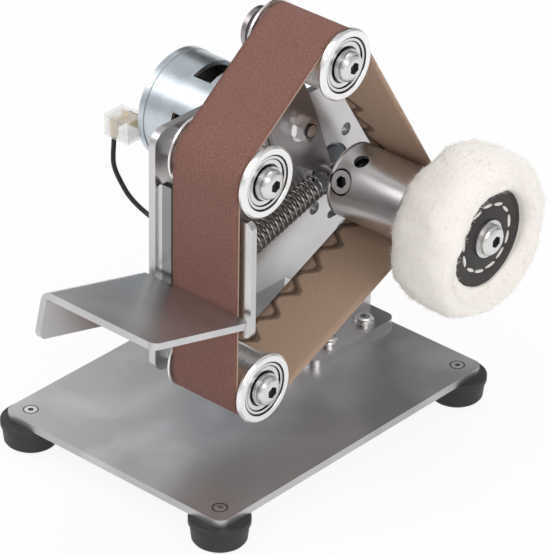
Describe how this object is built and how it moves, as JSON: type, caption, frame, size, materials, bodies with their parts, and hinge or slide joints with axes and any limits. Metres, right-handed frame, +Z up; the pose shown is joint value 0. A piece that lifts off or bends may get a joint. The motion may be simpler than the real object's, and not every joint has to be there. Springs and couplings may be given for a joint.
{
  "type": "mini belt sander",
  "caption": "Small bench belt sander: can motor on an upright plate, abrasive belt over rollers on a sprung arm, tilting table and wool polishing wheel.",
  "frame": {"origin": "on the floor under the middle of the whole sander's outline seen from above, belt and table at rest", "axes": "+Z up; +X along the shafts, from the motor towards the polishing wheel; -Y is the side of the belt's working face and the table"},
  "size_m": [0.1648, 0.174, 0.1681],
  "materials": {
    "sheet_steel": "brushed stainless sheet",
    "table_steel": "brushed stainless sheet",
    "turned_steel": "turned and polished steel",
    "fasteners": "plain stainless fastener",
    "drum_alloy": "turned alloy, satin",
    "zinc_can": "zinc-plated drawn can, bluish",
    "rubber": "moulded black rubber",
    "black_plastic": "moulded black plastic",
    "clear_sleeve": "translucent soft plastic",
    "brass": "stamped brass",
    "copper": "enamelled copper wire",
    "ferrite": "grey ferrite and laminated iron",
    "lead": "black wire insulation",
    "abrasive": "red-brown abrasive grit on tan cloth",
    "spring_steel": "dark oiled spring wire",
    "wool": "cream wool pile",
    "leather": "black leather with white stitching"
  },
  "bodies": {
    "stand": {"base_plate": "sheet_steel", "rubber_feet": "rubber", "foot_screws": "fasteners", "foot_nuts": "fasteners", "side_plate": "sheet_steel", "flange_screws": "fasteners", "platen": "sheet_steel", "platen_screws": "fasteners", "axle_screws": "fasteners", "axle_spacers": "fasteners", "axle_nuts": "fasteners", "inner_races": "turned_steel", "pivot_screw": "fasteners", "pivot_washers": "turned_steel", "lock_nuts": "fasteners", "anchor_pin": "turned_steel", "table_screw": "fasteners", "motor_can": "zinc_can", "motor_end_cap": "black_plastic", "motor_magnets": "ferrite", "motor_brushes": "ferrite", "motor_terminals": "brass", "motor_bearings": "turned_steel", "motor_screws": "fasteners", "spade_terminals": "brass", "connector_sleeves": "clear_sleeve", "lead_wires": "lead", "inlet_bracket": "sheet_steel", "inlet_screws": "fasteners", "inlet_nuts": "fasteners", "power_inlet": "black_plastic", "inlet_ring_nut": "fasteners", "sanding_belt": "abrasive", "tension_spring": "spring_steel"},
    "drive": {"motor_shaft": "turned_steel", "armature_core": "ferrite", "armature_windings": "copper", "commutator": "copper", "drive_drum": "drum_alloy", "drum_screws": "fasteners", "buff_wheel": "wool", "leather_facings": "leather", "buff_washer": "turned_steel", "buff_screw": "fasteners"},
    "idler_lower": {"roller_lower": "turned_steel", "outer_races_lower": "turned_steel", "balls_lower": "turned_steel"},
    "idler_upper": {"roller_upper": "turned_steel", "outer_races_upper": "turned_steel", "balls_upper": "turned_steel"},
    "idler_tension": {"roller_tension": "turned_steel", "outer_races_tension": "turned_steel", "balls_tension": "turned_steel"},
    "arm": {"tension_arm": "sheet_steel", "tension_axle_screw": "fasteners", "tension_spacers": "fasteners", "tension_nut": "fasteners", "tension_inner_races": "turned_steel", "hook_pin": "turned_steel"},
    "table": {"work_table": "table_steel"}
  },
  "joints": [
    {"name": "drive_spin", "type": "hinge", "parent": "stand", "child": "drive", "pos_m": [0.00775, 0.05668, 0.0834], "axis": [1, 0, 0], "continuous": true},
    {"name": "idler_lower_spin", "type": "hinge", "parent": "stand", "child": "idler_lower", "pos_m": [0.00775, -0.02322, 0.0447], "axis": [1, 0, 0], "continuous": true},
    {"name": "idler_upper_spin", "type": "hinge", "parent": "stand", "child": "idler_upper", "pos_m": [0.00775, -0.02322, 0.1256], "axis": [1, 0, 0], "continuous": true},
    {"name": "tension_arm_swing", "type": "hinge", "parent": "stand", "child": "arm", "pos_m": [0.00775, 0.03688, 0.1093], "axis": [1, 0, 0], "range_deg": [0, 10], "stiffness_Nm_per_rad": 0.79, "springref_deg": -27.5, "deforming": ["sanding_belt", "tension_spring"]},
    {"name": "idler_tension_spin", "type": "hinge", "parent": "arm", "child": "idler_tension", "pos_m": [0.00775, 0.01558, 0.1552], "axis": [1, 0, 0], "continuous": true},
    {"name": "table_tilt", "type": "hinge", "parent": "stand", "child": "table", "pos_m": [0.00775, -0.02445, 0.06467], "axis": [1, 0, 0], "range_deg": [-2, 30]}
  ],
  "couplings": [
    {"joint": "idler_lower_spin", "follows": "drive_spin", "ratio": 1.2643},
    {"joint": "idler_upper_spin", "follows": "drive_spin", "ratio": 1.2643},
    {"joint": "idler_tension_spin", "follows": "drive_spin", "ratio": 1.2643}
  ]
}
